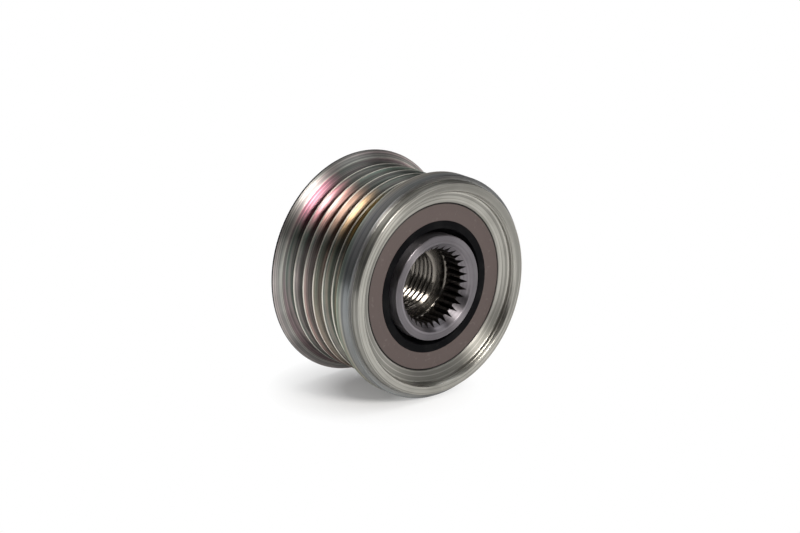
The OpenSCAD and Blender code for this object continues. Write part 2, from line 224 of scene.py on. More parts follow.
class ClutchStage(bpy.types.PropertyGroup):
    """Camera and light of the picture."""

    azimuth: angle("Azimuth", "Turn of the camera round the part", -40.713)
    elevation: angle("Elevation", "Height of the camera's view", 18.468)
    distance: length("Distance", "Distance from the camera to the part", 884.966)
    lens: number("Lens", "Focal length on a 36 mm sensor", 165.158, unit="CAMERA")
    shift: number("Shift", "Vertical shift of the picture", 0.0096)
    target_y: length("Target", "Point on the axis that is looked at", -0.45, low=-1.0)
    world_level: level("World light", "Strength of the soft surroundings", 0.55)
    key_power: power("Key light", "Power of the lamp in front of the part", 6.6)
    top_power: power("Top light", "Power of the large overhead lamp", 3.2)
    side_power: power("Side light", "Power of the lamp on the right", 0.5)
    left_power: power("Left light", "Power of the wide lamp on the left", 0.5)
    upper_power: power("Upper light", "Power of the lamp above the ribs", 0.9)
    tent_dark: level("Tent, dark side", "Level of the grey tent at the front and left", 0.05)
    tent_pale: level("Tent, pale side", "Level of the grey tent at the back right", 0.50)


# Shader nodes

def put(slot, value):
    """Links a socket to the slot, or sets the slot to a number or a colour."""
    if isinstance(value, bpy.types.NodeSocket):
        slot.id_data.links.new(value, slot)
    elif isinstance(value, (int, float)):
        slot.default_value = value
    else:
        slot.default_value = tuple(value)[:3] + (1.0,)


def added(tree, kind, inputs=None, **settings):
    """Adds a node with its settings, and with sockets, numbers or colours for its inputs."""
    made = tree.nodes.new(kind)
    for name, value in settings.items():
        setattr(made, name, value)
    for key, value in (inputs or {}).items():
        put(made.inputs[key], value)
    return made


def worked(operation, a, b=0.0, clamp=False):
    """Adds a Math node; a and b are numbers or sockets, at least one of them a socket."""
    tree = (a if isinstance(a, bpy.types.NodeSocket) else b).id_data
    return added(tree, "ShaderNodeMath", {0: a, 1: b}, operation=operation, use_clamp=clamp).outputs[0]


def plus(a, b):
    return worked("ADD", a, b)


def minus(a, b):
    return worked("SUBTRACT", a, b)


def times(a, b):
    return worked("MULTIPLY", a, b)


def mixed(factor, a, b):
    """Mixes the colour a with the colour b, by a factor that is a socket."""
    return added(factor.id_data, "ShaderNodeMix", {0: factor, 6: a, 7: b}, data_type="RGBA").outputs[2]


def ramped(source, low, high, to_low=0.0, to_high=1.0):
    """source from low to high becomes to_low to to_high, and stays between them."""
    ends = {"From Min": low, "From Max": high, "To Min": to_low, "To Max": to_high}
    return added(source.id_data, "ShaderNodeMapRange", {0: source, **ends}).outputs[0]


def mapped(source, low, high):
    """source from 0 to 1 becomes low to high."""
    return ramped(source, 0.0, 1.0, low, high)


def noise(vector, scale, detail):
    return added(vector.id_data, "ShaderNodeTexNoise",
                 {"Vector": vector, "Scale": scale, "Detail": detail}).outputs[0]


def combined(x, y, z):
    return added(x.id_data, "ShaderNodeCombineXYZ", {0: x, 1: y, 2: z}).outputs[0]


def scaled(base, factor):
    """A colour with each part multiplied, at most 1."""
    return tuple(min(1.0, factor * v) for v in base)


def object_place(tree):
    return tree.nodes.new("ShaderNodeTexCoord").outputs["Object"]


def turned_coordinates(tree):
    """The place in Object coordinates, its x and z, its station on the axis and its radius from it."""
    place = object_place(tree)
    x, station, z = added(tree, "ShaderNodeSeparateXYZ", {0: place}).outputs
    radius = worked("SQRT", plus(times(x, x), times(z, z)))
    return SimpleNamespace(place=place, x=x, z=z, station=station, radius=radius)


def new_group(name, inputs, outputs):
    """A node group; a tuple makes a colour input, and an output named Colour is one."""
    tree = bpy.data.node_groups.new(name, "ShaderNodeTree")
    for key, value in inputs.items():
        kind = "NodeSocketColor" if isinstance(value, tuple) else "NodeSocketFloat"
        tree.interface.new_socket(name=key, in_out="INPUT", socket_type=kind).default_value = value
    for key in outputs:
        kind = "NodeSocketColor" if key == "Colour" else "NodeSocketFloat"
        tree.interface.new_socket(name=key, in_out="OUTPUT", socket_type=kind)
    return tree, tree.nodes.new("NodeGroupInput").outputs, tree.nodes.new("NodeGroupOutput").inputs


# Layers of the turning marks: share of the rings, detail and weight
MARK_LAYERS = ((1.0, 2.0, 0.36), (0.30, 1.0, 0.36), (0.11, 1.0, 0.28))
# Layers of the plating film: change along the radius, along the axis and round it, and shift
FILM_LAYERS = ((300.0, 150.0, 20.0, 0.0), (900.0, 700.0, 34.0, 7.3))
# Handling marks: name, share of the scale, detail and the ends of the ramp
HANDLING_LAYERS = (("Smears", 0.22, 3.0, 0.42, 0.72), ("Specks", 1.0, 1.0, 0.66, 0.74),
                   ("Grain", 6.0, 2.0, 0.30, 0.70))
# Cosines of the angle from the middle of the rich patch, a painted highlight colour, where it starts and is
# full
PATCH_START, PATCH_FULL = 0.93, 0.985
# Distance in front of the first groove over which the track's finish comes in
TRACK_START, TRACK_FULL = 4.5 * MM, 2.0 * MM
# Depths below the crests: of the track, and where the painted groove shade starts and is full
TRACK_DEPTH, GROOVE_SHADE_START, GROOVE_SHADE_FULL = 5.0 * MM, 0.4 * MM, 2.2 * MM
# Height above the crests that the rich patch reaches
PATCH_REACH = 0.7 * MM
# Distances inside the rim of a seal carrier, where the painted shade of its gap starts and is full
GAP_SHADE_START, GAP_SHADE_FULL = 0.42 * MM, 0.18 * MM


def turning_marks_group():
    """Fine rings that a lathe tool leaves, as a mask, a height and a mask of crisp bands."""
    tree, given, result = new_group(
        "Turning marks", {"Rings per metre": 9000.0, "Change round the part": 13.0},
        ("Marks", "Height", "Bands"))
    at = turned_coordinates(tree)
    around = times(plus(at.x, at.z), given["Change round the part"])
    layers = []
    for share, detail, weight in MARK_LAYERS:
        rings = times(given["Rings per metre"], share)
        vector = combined(times(at.radius, rings), times(at.station, rings), around)
        layers.append((noise(vector, 1.0, detail), weight))
    fine, middle, coarse = (times(layer, weight) for layer, weight in layers)
    height = plus(plus(fine, middle), coarse)
    put(result["Marks"], ramped(height, 0.38, 0.62))
    put(result["Height"], height)
    put(result["Bands"], ramped(plus(layers[1][0], layers[2][0]), 0.97, 1.04))
    return tree


def passivation_group():
    """Iridescent film of a passivated plating: pink at the rear, yellow at the front, with a rich patch of
    painted highlight colour.
    """
    tree, given, result = new_group(
        "Passivation colours",
        {"Plain": (0.6, 0.6, 0.55, 1.0), "Pink": (0.6, 0.5, 0.5, 1.0), "Yellow": (0.6, 0.6, 0.4, 1.0),
         "Green": (0.5, 0.6, 0.5, 1.0), "Amount": 0.6, "Front station": -0.01, "Rear station": 0.01,
         "Patch angle": 2.25, "Outer radius": 0.026}, ("Colour",))
    at = turned_coordinates(tree)
    around = plus(at.x, at.z)
    masks = []
    for along, across, turn, shift in FILM_LAYERS:
        shifted = plus(times(at.station, across), shift)
        vector = combined(times(at.radius, along), shifted, times(around, turn))
        masks.append(times(ramped(noise(vector, 1.0, 1.5), 0.42, 0.66), given["Amount"]))
    # The rich patch is painted highlight colour, set round the angle where the key lamp's band falls on the
    # ribs
    patch_x = times(at.x, worked("COSINE", given["Patch angle"]))
    patch_z = times(at.z, worked("SINE", given["Patch angle"]))
    patch = ramped(worked("DIVIDE", plus(patch_x, patch_z), at.radius), PATCH_START, PATCH_FULL)
    rich = times(patch, worked("LESS_THAN", at.radius, given["Outer radius"]))
    drift = ramped(at.station, given["Front station"], given["Rear station"])
    tone = mixed(drift, given["Yellow"], given["Pink"])
    film = mixed(worked("MAXIMUM", masks[0], rich), given["Plain"], tone)
    put(result["Colour"], mixed(times(masks[1], minus(1.0, rich)), film, given["Green"]))
    return tree


def track_and_light_masks_group():
    """Painted highlight lines on the crests and the chamfer edge, the belt track, painted shade in its
    grooves and the rear chamfer, as masks.
    """
    tree, given, result = new_group(
        "Edge wear",
        {"Crest radius": 0.0252, "Band": 0.00008, "From station": -0.01, "To station": 0.01,
         "Last station": 0.015, "Chamfer radius": 0.026},
        ("Wear", "Track", "Dirt", "Chamfer"))
    at = turned_coordinates(tree)
    crest, chamfer = given["Crest radius"], given["Chamfer radius"]
    start, end = given["From station"], given["To station"]

    # Bands round the crest and chamfer radii, for the painted highlight lines
    def edge(radius):
        off = worked("ABSOLUTE", minus(at.radius, radius))
        return worked("SUBTRACT", 1.0, worked("DIVIDE", off, given["Band"]), clamp=True)

    ribs = times(worked("GREATER_THAN", at.station, start), worked("LESS_THAN", at.station, end))
    rear = worked("GREATER_THAN", at.station, end)
    painted_edge_highlight = worked("MAXIMUM", times(edge(crest), ribs), times(edge(chamfer), rear))
    patchy = worked("ADD", 0.55, times(noise(at.place, 350.0, 2.0), 0.9), clamp=True)
    put(result["Wear"], times(painted_edge_highlight, patchy))
    outside = times(worked("GREATER_THAN", at.radius, minus(crest, TRACK_DEPTH)),
                    worked("LESS_THAN", at.station, given["Last station"]))
    behind = ramped(at.station, minus(start, TRACK_START), minus(start, TRACK_FULL))
    put(result["Track"], times(behind, outside))
    # Painted shade, darker towards the groove roots
    deep = ramped(at.radius, minus(crest, GROOVE_SHADE_START), minus(crest, GROOVE_SHADE_FULL))
    put(result["Dirt"], times(deep, outside))
    put(result["Chamfer"], times(rear, worked("GREATER_THAN", at.radius, chamfer)))
    return tree


def handling_group():
    """Smears, dust specks and grain, as three masks."""
    tree, given, result = new_group("Handling marks", {"Scale": 900.0}, ("Smears", "Specks", "Grain"))
    place = object_place(tree)
    for name, share, detail, low, high in HANDLING_LAYERS:
        put(result[name], ramped(noise(place, times(given["Scale"], share), detail), low, high))
    return tree


def place_group(tree, name, inputs=None):
    """Adds the node group of that name, made on first use, and gives its outputs."""
    makers = {"Turning marks": turning_marks_group, "Passivation colours": passivation_group,
              "Handling marks": handling_group, "Edge wear": track_and_light_masks_group}
    group = bpy.data.node_groups.get(name) or makers[name]()
    return added(tree, "ShaderNodeGroup", inputs, node_tree=group).outputs


# Finishes

def started_material(name, scale=900.0):
    """A material, the inputs of its shader and its handling marks."""
    made = bpy.data.materials.new(name)
    made.use_nodes = True
    handling = place_group(made.node_tree, "Handling marks", {"Scale": scale})
    return made, made.node_tree.nodes["Principled BSDF"].inputs, handling


def surfaced(shader, base, roughness, height, strength, distance, metallic=0.0):
    """Gives a shader its colour, roughness, metal and bump."""
    put(shader["Base Color"], base)
    put(shader["Roughness"], roughness)
    put(shader["Metallic"], metallic)
    bump = added(height.id_data, "ShaderNodeBump",
                 {"Strength": strength, "Distance": distance, "Height": height})
    put(shader["Normal"], bump.outputs[0])


def turned_metal(name, base, roughness, rings=7000.0, depth=0.01 * MM, anisotropy=0.85, bands=0.3,
                 track=None, colours=None):
    """Lathe-turned metal with rings per metre and, where a belt track is given, its plating film, with
    painted highlights on the crests, painted shade in the grooves and a painted reflection on the rear
    chamfer.
    """
    made, shader, handling = started_material(name)
    tree = made.node_tree
    marks = place_group(tree, "Turning marks", {"Rings per metre": rings})
    put(shader["Anisotropic"], anisotropy)
    put(shader["Anisotropic Rotation"], 0.25)
    put(shader["Tangent"], added(tree, "ShaderNodeTangent", direction_type="RADIAL", axis="Y").outputs[0])
    dark = scaled(base, 0.40)
    shaded = base
    if track:
        track_masks = place_group(tree, "Edge wear", track)
        film = place_group(tree, "Passivation colours", {
            "Plain": colours.film, "Pink": colours.film_pink, "Yellow": colours.film_yellow,
            "Green": colours.film_green, "Front station": track["From station"],
            "Rear station": track["To station"], "Outer radius": track["Crest radius"] + PATCH_REACH})
        shaded = mixed(mapped(track_masks["Track"], 0.15, 1.0), base, film["Colour"])
        # Painted reflection: the rear chamfer is made paler
        shaded = mixed(times(track_masks["Chamfer"], 0.6), shaded, colours.chamfer)
        put(shader["Anisotropic"], mapped(track_masks["Track"], anisotropy, 0.97))
    for mask, share in ((marks["Marks"], 0.5), (marks["Bands"], bands), (handling["Smears"], 0.12)):
        shaded = mixed(times(mask, share), shaded, dark)
    rough = plus(mapped(marks["Marks"], roughness - 0.06, roughness + 0.08), times(handling["Smears"], 0.08))
    if track:
        # Painted shade at the bottoms of the grooves
        shaded = mixed(times(track_masks["Dirt"], 0.6), shaded, colours.groove_shade)
        # Painted highlight: pale lines along the rib crests and the rear chamfer's edge
        shaded = mixed(times(track_masks["Wear"], 0.85), shaded, colours.crest_highlight)
        rough = plus(rough, times(track_masks["Track"], 0.12))
    surfaced(shader, shaded, rough, marks["Height"], strength=0.8, distance=depth, metallic=1.0)
    return made


def coated_sheet(name, c):
    """Matt coating on pressed sheet, with painted shade near black at its rim where the gap round it is."""
    made, shader, handling = started_material(name)
    marks = place_group(made.node_tree, "Turning marks", {"Rings per metre": 3200.0})
    light = scaled(c.carrier, 1.5)
    shaded = mixed(times(handling["Grain"], 0.35), c.carrier, light)
    shaded = mixed(times(handling["Specks"], 0.14), shaded, c.dust)
    shaded = mixed(times(marks["Marks"], 0.18), shaded, light)
    # Painted shade: the rim of the sheet goes near black where the gap is
    gap = ramped(turned_coordinates(made.node_tree).radius, SEAL_R - GAP_SHADE_START, SEAL_R - GAP_SHADE_FULL)
    surfaced(shader, mixed(gap, shaded, c.gap), mapped(handling["Grain"], 0.46, 0.62), handling["Grain"],
             strength=0.25, distance=0.02 * MM, metallic=0.35)
    return made


def moulded_rubber(name, c):
    """Black moulded rubber with a faint bloom."""
    made, shader, handling = started_material(name)
    shaded = mixed(times(handling["Smears"], 0.45), c.rubber, c.bloom)
    shaded = mixed(times(handling["Specks"], 0.06), shaded, c.rubber_dust)
    put(shader["Specular IOR Level"], 0.05)
    surfaced(shader, shaded, mapped(handling["Grain"], 0.42, 0.58), handling["Grain"],
             strength=0.3, distance=0.02 * MM)
    return made


def ground_steel(name, base, roughness):
    """Ground and oiled steel of the inner parts."""
    made, shader, handling = started_material(name)
    marks = place_group(made.node_tree, "Turning marks", {"Rings per metre": 15000.0})
    shaded = mixed(times(handling["Smears"], 0.35), base, scaled(base, 0.7))
    surfaced(shader, shaded, mapped(marks["Marks"], roughness - 0.05, roughness + 0.07), marks["Height"],
             strength=0.2, distance=0.004 * MM, metallic=1.0)
    return made


def moulded_plastic(name, base):
    """Glass-filled moulded plastic."""
    made, shader, handling = started_material(name, 1400.0)
    shaded = mixed(times(handling["Grain"], 0.4), base, scaled(base, 1.6))
    surfaced(shader, shaded, mapped(handling["Smears"], 0.45, 0.6), handling["Grain"],
             strength=0.3, distance=0.03 * MM)
    return made


# Modelling helpers

def deselect():
    if bpy.context.object and bpy.context.object.mode != "OBJECT":
        bpy.ops.object.mode_set(mode="OBJECT")
    bpy.ops.object.select_all(action="DESELECT")


def activate(piece):
    """Selects the piece alone and makes it the active one."""
    deselect()
    piece.select_set(True)
    bpy.context.view_layer.objects.active = piece


def modified(kind, **settings):
    """Adds a modifier to the active piece, sets it and applies it."""
    bpy.ops.object.modifier_add(type=kind)
    made = bpy.context.object.modifiers[-1]
    for name, value in settings.items():
        setattr(made, name, value)
    bpy.ops.object.modifier_apply(modifier=made.name)


def pick(piece, test, kind="VERT"):
    """Selects the vertices or faces of the piece in edit mode that pass the test."""
    bpy.ops.mesh.select_mode(type=kind)
    bpy.ops.mesh.select_all(action="DESELECT")
    bpy.ops.object.mode_set(mode="OBJECT")
    found = 0
    for item in piece.data.vertices if kind == "VERT" else piece.data.polygons:
        item.select = bool(test(item))
        found += item.select
    bpy.ops.object.mode_set(mode="EDIT")
    if not found:
        raise RuntimeError(f"{piece.name}: nothing was found to select")


def drawn_line(name, points):
    """A closed line drawn from one vertex by extruding it from point to point, left in edit mode."""
    deselect()
    bpy.ops.mesh.primitive_plane_add(size=MM)
    piece = bpy.context.object
    piece.name = name
    piece.data.name = name
    bpy.ops.object.mode_set(mode="EDIT")
    bpy.ops.mesh.select_mode(type="VERT")
    bpy.ops.mesh.select_all(action="SELECT")
    bpy.ops.mesh.merge(type="CENTER")
    bpy.ops.transform.translate(value=points[0])
    for a, b in zip(points, points[1:]):
        step = (b[0] - a[0], b[1] - a[1], b[2] - a[2])
        bpy.ops.mesh.extrude_region_move(TRANSFORM_OT_translate={"value": step})
    ends = (Vector(points[0]), Vector(points[-1]))
    pick(piece, lambda v: min((v.co - e).length for e in ends) < NEAR)
    bpy.ops.mesh.edge_face_add()
    return piece


def round_corners(piece, corners, segments=3):
    """Rounds the drawn line at each of the (place, width) corners, the wide ones with more segments."""
    for width in sorted({w for place, w in corners if w > 0}):
        places = [Vector(place) for place, w in corners if w == width]
        pick(piece, lambda v: min((v.co - p).length for p in places) < 2 * NEAR)
        bpy.ops.mesh.bevel(offset=width, offset_type="OFFSET", affect="VERTICES", clamp_overlap=False,
                           segments=7 if width > 1.0 * MM else segments)


def closed_up():
    """Merges doubles, turns all faces outwards and leaves edit mode."""
    bpy.ops.mesh.select_mode(type="VERT")
    bpy.ops.mesh.select_all(action="SELECT")
    bpy.ops.mesh.remove_doubles(threshold=NEAR / 2)
    bpy.ops.mesh.normals_make_consistent(inside=False)
    bpy.ops.object.mode_set(mode="OBJECT")


def drawn_out(width):
    """Fills the closed line that is in edit mode and draws it out along the axis."""
    bpy.ops.mesh.select_all(action="SELECT")
    bpy.ops.mesh.edge_face_add()
    bpy.ops.mesh.extrude_region_move(TRANSFORM_OT_translate={"value": (0, width, 0)})
    closed_up()


def turned_piece(name, section, steps):
    """A ring turned from a closed section of (radius, station, rounding) points."""
    piece = drawn_line(name, [(r, y, 0.0) for r, y, w in section])
    round_corners(piece, [((r, y, 0.0), w) for r, y, w in section])
    bpy.ops.mesh.select_all(action="SELECT")
    bpy.ops.mesh.spin(steps=steps, angle=2 * math.pi, center=(0, 0, 0), axis=(0, 1, 0))
    closed_up()
    return piece


def cut_away(piece, cutter):
    """Takes the cutter's shape out of the piece and removes the cutter."""
    activate(piece)
    modified("BOOLEAN", operation="DIFFERENCE", solver="EXACT", object=cutter)
    activate(cutter)
    bpy.ops.object.delete()


def finished(piece, body, slot_name, materials, *nodes):
    """Smooths the piece, gives it its finishes, ties it to its body and hides the CAD nodes that it stands
    in for.
    """
    activate(piece)
    bpy.ops.object.shade_smooth_by_angle(angle=math.radians(32))
    modified("WEIGHTED_NORMAL", mode="FACE_AREA", weight=100, keep_sharp=True)
    for made in materials:
        piece.data.materials.append(made)
    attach(piece, body)
    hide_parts(*nodes)


def refinished(piece, index, test):
    """Gives a finish to the faces whose station, radius and slope along the axis pass the test."""
    bpy.ops.object.mode_set(mode="EDIT")
    pick(piece, lambda f: test(f.center.y, math.hypot(f.center.x, f.center.z), abs(f.normal.y)), "FACE")
    piece.active_material_index = index
    bpy.ops.object.material_slot_assign()
    bpy.ops.object.mode_set(mode="OBJECT")


def pulley_section(s):
    """Closed section of the ribbed pulley, from its front lip round the outside and back inside."""
    front, rear = PULLEY_LOW.y, PULLEY_HIGH.y
    slope = math.tan(s.groove_half_angle)
    crest_r = s.flange_r - s.crest_drop
    mouth_half = (s.rib_pitch - s.crest_land) / 2
    apex_r = crest_r - mouth_half / slope
    root_w = s.groove_root_r / slope
    step_y = front + s.lip_w
    grooves_y = step_y + s.collar_w
    crest_edge = 0.11 * MM
    lip_base = s.flange_r - s.lip_step
    section = [
        (lip_base - s.lip_taper, front, s.edge_r),
        (lip_base, step_y, s.small_edge_r),
        (s.flange_r, step_y, 0.6 * s.edge_r),
        (s.flange_r, grooves_y + s.crest_land / 2 - s.crest_drop * slope, s.edge_r)]
    for i in range(s.rib_count):
        section.append((apex_r, grooves_y + (i + 0.5) * s.rib_pitch, root_w))
        if i < s.rib_count - 1:
            crest_y = grooves_y + (i + 1) * s.rib_pitch
            section.append((crest_r, crest_y - s.crest_land / 2, crest_edge))
            section.append((crest_r, crest_y + s.crest_land / 2, crest_edge))
    flank_y = grooves_y + s.rib_count * s.rib_pitch - s.crest_land / 2 + s.rear_flank_h * slope
    side_clearance = 0.1 * MM
    ring_front = RING_LOW.y - side_clearance
    ring_rear = RING_HIGH.y + side_clearance
    seat_r, seat_y = s.cap_seat_r, front + s.cap_seat_depth
    snap_front, snap_rear = front + 0.6 * MM, front + 0.9 * MM
    snap_r, snap_edge = seat_r + s.snap_depth, 0.04 * MM
    section += [
        (crest_r + s.rear_flank_h, flank_y, 0.12 * MM),
        (s.flange_r, rear - s.rear_land_w, 0.14 * MM),
        (s.flange_r, rear, s.edge_r),
        (SEAL_R, rear, s.edge_r),
        (SEAL_R, ring_rear, s.small_edge_r),
        (s.ring_bore_r, ring_rear, s.small_edge_r),
        (s.ring_bore_r, ring_front, s.small_edge_r),
        (SEAL_R, ring_front, s.small_edge_r),
        (SEAL_R, SEAL_LOW.y, 0.14 * MM),
        (seat_r - 0.62 * MM, seat_y + 0.16 * MM, 0.1 * MM),
        (seat_r, seat_y, 0.16 * MM),
        (seat_r, snap_rear + 0.1 * MM, 0.05 * MM),
        (snap_r, snap_rear, snap_edge),
        (snap_r, snap_front, snap_edge),
        (seat_r + s.snap_depth / 2, snap_front, snap_edge),
        (seat_r + 0.6 * MM, front, 0.08 * MM)]
    return section


def hub_section(s):
    """Closed section of the hub, without its socket notches and thread."""
    front, rear = HUB_LOW.y, HUB_HIGH.y
    r = HUB_HIGH.x
    mouth_r = s.spline_root_r + 0.65 * MM
    bore_r = s.spline_tip_r - 0.2 * MM
    relief_r = s.spline_root_r + 0.2 * MM
    relief_y = front + s.socket_depth
    seat_y = relief_y + s.relief_w
    seat_r = relief_r - 0.4 * MM
    thread_y = thread_start(s)
    return [
        (bore_r, front + (mouth_r - bore_r) * 1.2, 0.0),
        (mouth_r, front, 0.07 * MM),
        (r, front, 0.3 * MM),
        (r, rear, 0.3 * MM),
        (s.pilot_r + 0.65 * MM, rear, 0.06 * MM),
        (s.pilot_r, rear - 0.65 * MM, 0.06 * MM),
        (s.pilot_r, thread_y + s.thread_len + 1.0 * MM, 0.0),
        (s.thread_major_r, thread_y + s.thread_len + 0.5 * MM, 0.0),
        (s.thread_major_r, thread_y, 0.0),
        (seat_r, seat_y, 0.07 * MM),
        (relief_r, seat_y - 0.4 * MM, 0.1 * MM),
        (relief_r, relief_y, 0.0),
        (bore_r, relief_y, 0.0)]


def thread_start(s):
    """Station where the seat cone meets the thread."""
    seat_y = HUB_LOW.y + s.socket_depth + s.relief_w
    seat_r = s.spline_root_r - 0.2 * MM
    return seat_y + (seat_r - s.thread_major_r) * math.tan(s.seat_angle)


def socket_cutter(s):
    """Prism with the outline of the tool socket: pointed notches between flat teeth."""
    start = HUB_LOW.y - 1.0 * MM
    pitch = 2 * math.pi / s.spline_teeth
    tooth = math.asin(s.tooth_land / 2 / s.spline_tip_r)
    points, corners = [], []
    for i in range(s.spline_teeth):
        middle = s.spline_turn + i * pitch
        for radius, turn, width in ((s.spline_root_r, 0.0, 0.12 * MM),
                                    (s.spline_tip_r, pitch / 2 - tooth, 0.09 * MM),
                                    (s.spline_tip_r, pitch / 2 + tooth, 0.09 * MM)):
            a = middle + turn
            points.append((radius * math.cos(a), start, radius * math.sin(a)))
            corners.append((points[-1], width))
    cutter = drawn_line("socket_cutter", points)
    round_corners(cutter, corners, 2)
    drawn_out(s.socket_depth + 1.0 * MM + 0.25 * s.relief_w)
    return cutter


def thread_ridge(s):
    """Helical ridge of the shaft thread, wound from its section and chamfered at the mouth."""
    start = thread_start(s) - 0.9 * MM
    half_root = s.thread_pitch * THREAD_ROOT
    half_crest = s.thread_pitch * THREAD_CREST
    base = s.thread_major_r + 0.05 * MM
    points = [(base, start - half_root, 0.0), (base, start + half_root, 0.0),
              (s.thread_minor_r, start + half_crest, 0.0), (s.thread_minor_r, start - half_crest, 0.0)]
    ridge = drawn_line("thread_ridge", points)
    round_corners(ridge, [(points[2], 0.05 * MM), (points[3], 0.05 * MM)], 2)
    bpy.ops.object.mode_set(mode="OBJECT")
    turns = int((s.thread_len + 1.2 * MM) / s.thread_pitch)
    modified("SCREW", axis="Y", angle=2 * math.pi, screw_offset=s.thread_pitch, iterations=turns,
             steps=s.thread_steps, render_steps=s.thread_steps, use_smooth_shade=False)
    bpy.ops.object.mode_set(mode="EDIT")
    for y in (start, start + turns * s.thread_pitch):
        pick(ridge, lambda v: abs(v.co.z) < NEAR and v.co.x > 0 and abs(v.co.y - y) < half_root + NEAR)
        bpy.ops.mesh.edge_face_add()
    closed_up()
    wide, deep, chamfer = 2.0 * MM, 3.0 * MM, 0.62 * MM
    mouth = thread_start(s) - 0.02 * MM
    cone = turned_piece("thread_mouth_cutter", [
        (0.5 * MM, mouth - deep, 0.0), (s.thread_major_r + wide, mouth - deep, 0.0),
        (s.thread_major_r + 0.3 * MM, mouth, 0.0), (s.thread_minor_r - 0.2 * MM, mouth + chamfer, 0.0),
        (0.5 * MM, mouth + chamfer, 0.0)], s.thread_steps)
    cut_away(ridge, cone)
    return ridge


def carrier_section(s, face_y, way):
    """Section of a pressed seal carrier, going from its face into the part."""
    edge = s.rubber_r - s.rubber_grip
    flat = [(edge, 0.0, 0.0), (SEAL_R, 0.0, 0.42 * MM), (SEAL_R, SEAL_DEPTH, 0.06 * MM),
            (SEAL_R - s.carrier_wall, SEAL_DEPTH, 0.06 * MM),
            (SEAL_R - s.carrier_wall, s.carrier_wall, 0.3 * MM), (edge, s.carrier_wall, 0.0)]
    return [(r, face_y + way * y, w) for r, y, w in flat]


def lip_section(s, face_y, way):
    """Section of the rubber, gripping the carrier and reaching to the hub."""
    gap = 0.01 * MM
    outer, mouth, wall = s.rubber_r, s.rubber_mouth_r, s.carrier_wall
    grip = outer - s.rubber_grip - gap
    touch = HUB_HIGH.x + s.running_gap
    back = wall + 0.35 * MM
    flat = [
        (mouth, -0.12 * MM, 0.12 * MM),
        (outer, -0.12 * MM, 0.1 * MM),
        (outer, -gap, 0.0),
        (grip, -gap, 0.0),
        (grip, wall + gap, 0.0),
        (outer, wall + gap, 0.0),
        (outer - 0.1 * MM, back, 0.08 * MM),
        (mouth + 0.9 * MM, back, 0.1 * MM),
        (touch + 0.7 * MM, SEAL_DEPTH - 0.5 * MM, 0.1 * MM),
        (touch + 0.2 * MM, SEAL_DEPTH - 0.35 * MM, 0.0),
        (touch, SEAL_DEPTH - 0.55 * MM, 0.0),
        (touch + 0.25 * MM, SEAL_DEPTH - 0.85 * MM, 0.08 * MM),
        (mouth - 0.12 * MM, wall - 0.1 * MM, 0.1 * MM)]
    return [(r, face_y + way * y, w) for r, y, w in flat]


def spring_outline(s):
    """Outline of a folded strip, as (distance from the roller's axis along its flat, height) pairs."""
    slant = (s.spring_high + s.spring_low) / s.spring_pitch
    notch = slant * s.spring_t / 2
    there, back = [(s.spring_near, s.spring_high)], []
    for k in range(1, s.spring_folds + 1):
        a = s.spring_near + k * s.spring_pitch
        last = k == s.spring_folds
        if k % 2:
            there += [(a, -s.spring_low), (a + s.spring_t, -s.spring_low)]
            back += [] if last else [(a + s.spring_t / 2, notch - s.spring_low)]
        else:
            there += [(a + s.spring_t / 2, s.spring_high - notch)]
            back += [(a, s.spring_high), (a + s.spring_t, s.spring_high)]
    return there + back[::-1] + [(s.spring_near + s.spring_t, s.spring_high)]


# Operators

class CLUTCH_OT_pulley(bpy.types.Operator):
    """Turn the ribbed pulley"""

    bl_idname = "clutch.pulley"
    bl_label = "Ribbed Pulley"

    def execute(self, context):
        s, c = context.scene.clutch_sizes, context.scene.clutch_colours
        piece = turned_piece("ribbed_pulley", pulley_section(s), s.steps)
        crest_r = s.flange_r - s.crest_drop
        grooves_y = PULLEY_LOW.y + s.lip_w + s.collar_w
        track = {"Crest radius": crest_r, "Chamfer radius": crest_r + s.rear_flank_h,
                 "From station": grooves_y + 0.5 * s.rib_pitch,
                 "To station": grooves_y + (s.rib_count - 0.5) * s.rib_pitch,
                 "Last station": PULLEY_HIGH.y - 0.02 * MM}
        plating = turned_metal("Zinc plating", c.plating, 0.33, rings=9000.0, depth=0.012 * MM,
                               track=track, colours=c)
        face = turned_metal("Turned face", c.face, 0.32, depth=0.016 * MM, bands=0.6)
        # Painted shade: the rear flange's edge gets a near-black finish
        edge = turned_metal("Dark rear edge", c.rear_edge_shade, 0.40, depth=0.008 * MM)
        finished(piece, "pulley", "plated_steel", [plating, face, edge], "pulley")
        step_y = PULLEY_LOW.y + s.lip_w - 0.01 * MM
        seat_y = step_y + 1.5 * MM
        refinished(piece, 1, lambda y, radius, slope: y < seat_y and radius > SEAL_R + 0.01 * MM
                   and (y < step_y or radius < s.cap_seat_r))
        # Faces of the rear flange's edge take the painted shade
        edge_y = PULLEY_HIGH.y - s.rear_land_w + 0.15 * MM
        refinished(piece, 2, lambda y, radius, slope: y > edge_y and slope < 0.8
                   and radius > s.flange_r - s.edge_r)
        return {"FINISHED"}


